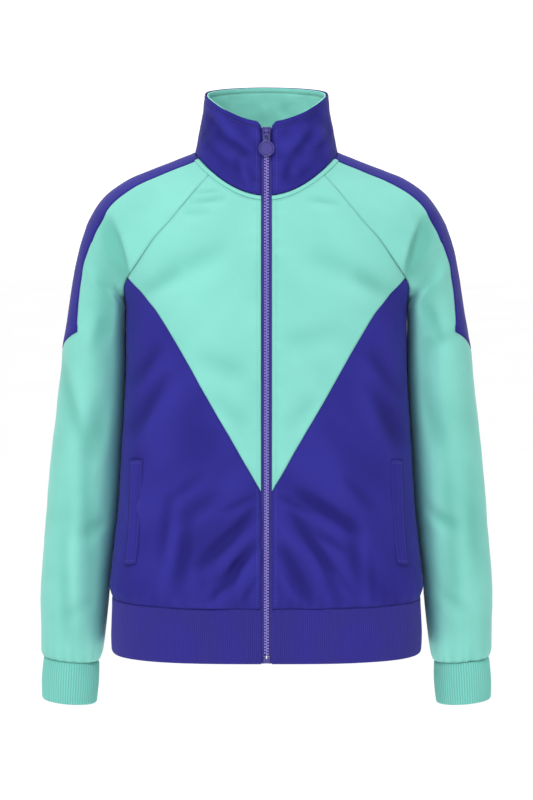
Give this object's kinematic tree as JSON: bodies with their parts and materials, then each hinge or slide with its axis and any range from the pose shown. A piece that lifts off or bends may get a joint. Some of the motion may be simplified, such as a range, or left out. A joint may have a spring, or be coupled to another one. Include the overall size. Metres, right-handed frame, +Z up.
{
  "type": "zip-front track jacket",
  "caption": "Zip-front track jacket filled out as worn, with stand collar, raglan sleeves, shoulder stripes, V-panelled front, welt pockets, ribbed hem and cuffs, and swinging pull.",
  "frame": {"origin": "middle of the neck base at the height of the side neck points, where the wearer's shoulders and neck carry the jacket", "axes": "+Z up along the body, -Y out of the zip front, +X to the wearer's left"},
  "size_m": [0.5338, 0.2264, 0.7256],
  "materials": {
    "mint_cloth": "smooth double-knit polyester with a soft sheen",
    "purple_cloth": "smooth double-knit polyester with a soft sheen",
    "mint_rib": "1x1 rib knit, matt",
    "purple_rib": "1x1 rib knit, matt",
    "zip_tape": "woven tape",
    "zip_teeth": "moulded plastic teeth",
    "zip_metal": "painted die-cast metal, semi-gloss"
  },
  "bodies": {
    "jacket": {"front_yoke_left": "mint_cloth", "front_lower_left": "purple_cloth", "sleeve_left": "mint_cloth", "shoulder_stripe_left": "purple_cloth", "neck_band_left": "mint_cloth", "pocket_welt_left": "purple_cloth", "cuff_left": "mint_rib", "zip_tape_left": "zip_tape", "front_yoke_right": "mint_cloth", "front_lower_right": "purple_cloth", "sleeve_right": "mint_cloth", "shoulder_stripe_right": "purple_cloth", "neck_band_right": "mint_cloth", "pocket_welt_right": "purple_cloth", "cuff_right": "mint_rib", "zip_tape_right": "zip_tape", "back": "purple_cloth", "collar_outer": "purple_cloth", "collar_inner": "mint_cloth", "hem_band": "purple_rib", "zip_chain": "zip_teeth", "zip_stop": "zip_metal", "zip_slider": "zip_metal"},
    "pull": {"zip_pull": "zip_metal"}
  },
  "joints": [
    {"name": "pull_swing", "type": "hinge", "parent": "jacket", "child": "pull", "pos_m": [0, -0.07261, 0.0365], "axis": [-1, 0, 0], "range_deg": [0, 150]}
  ]
}
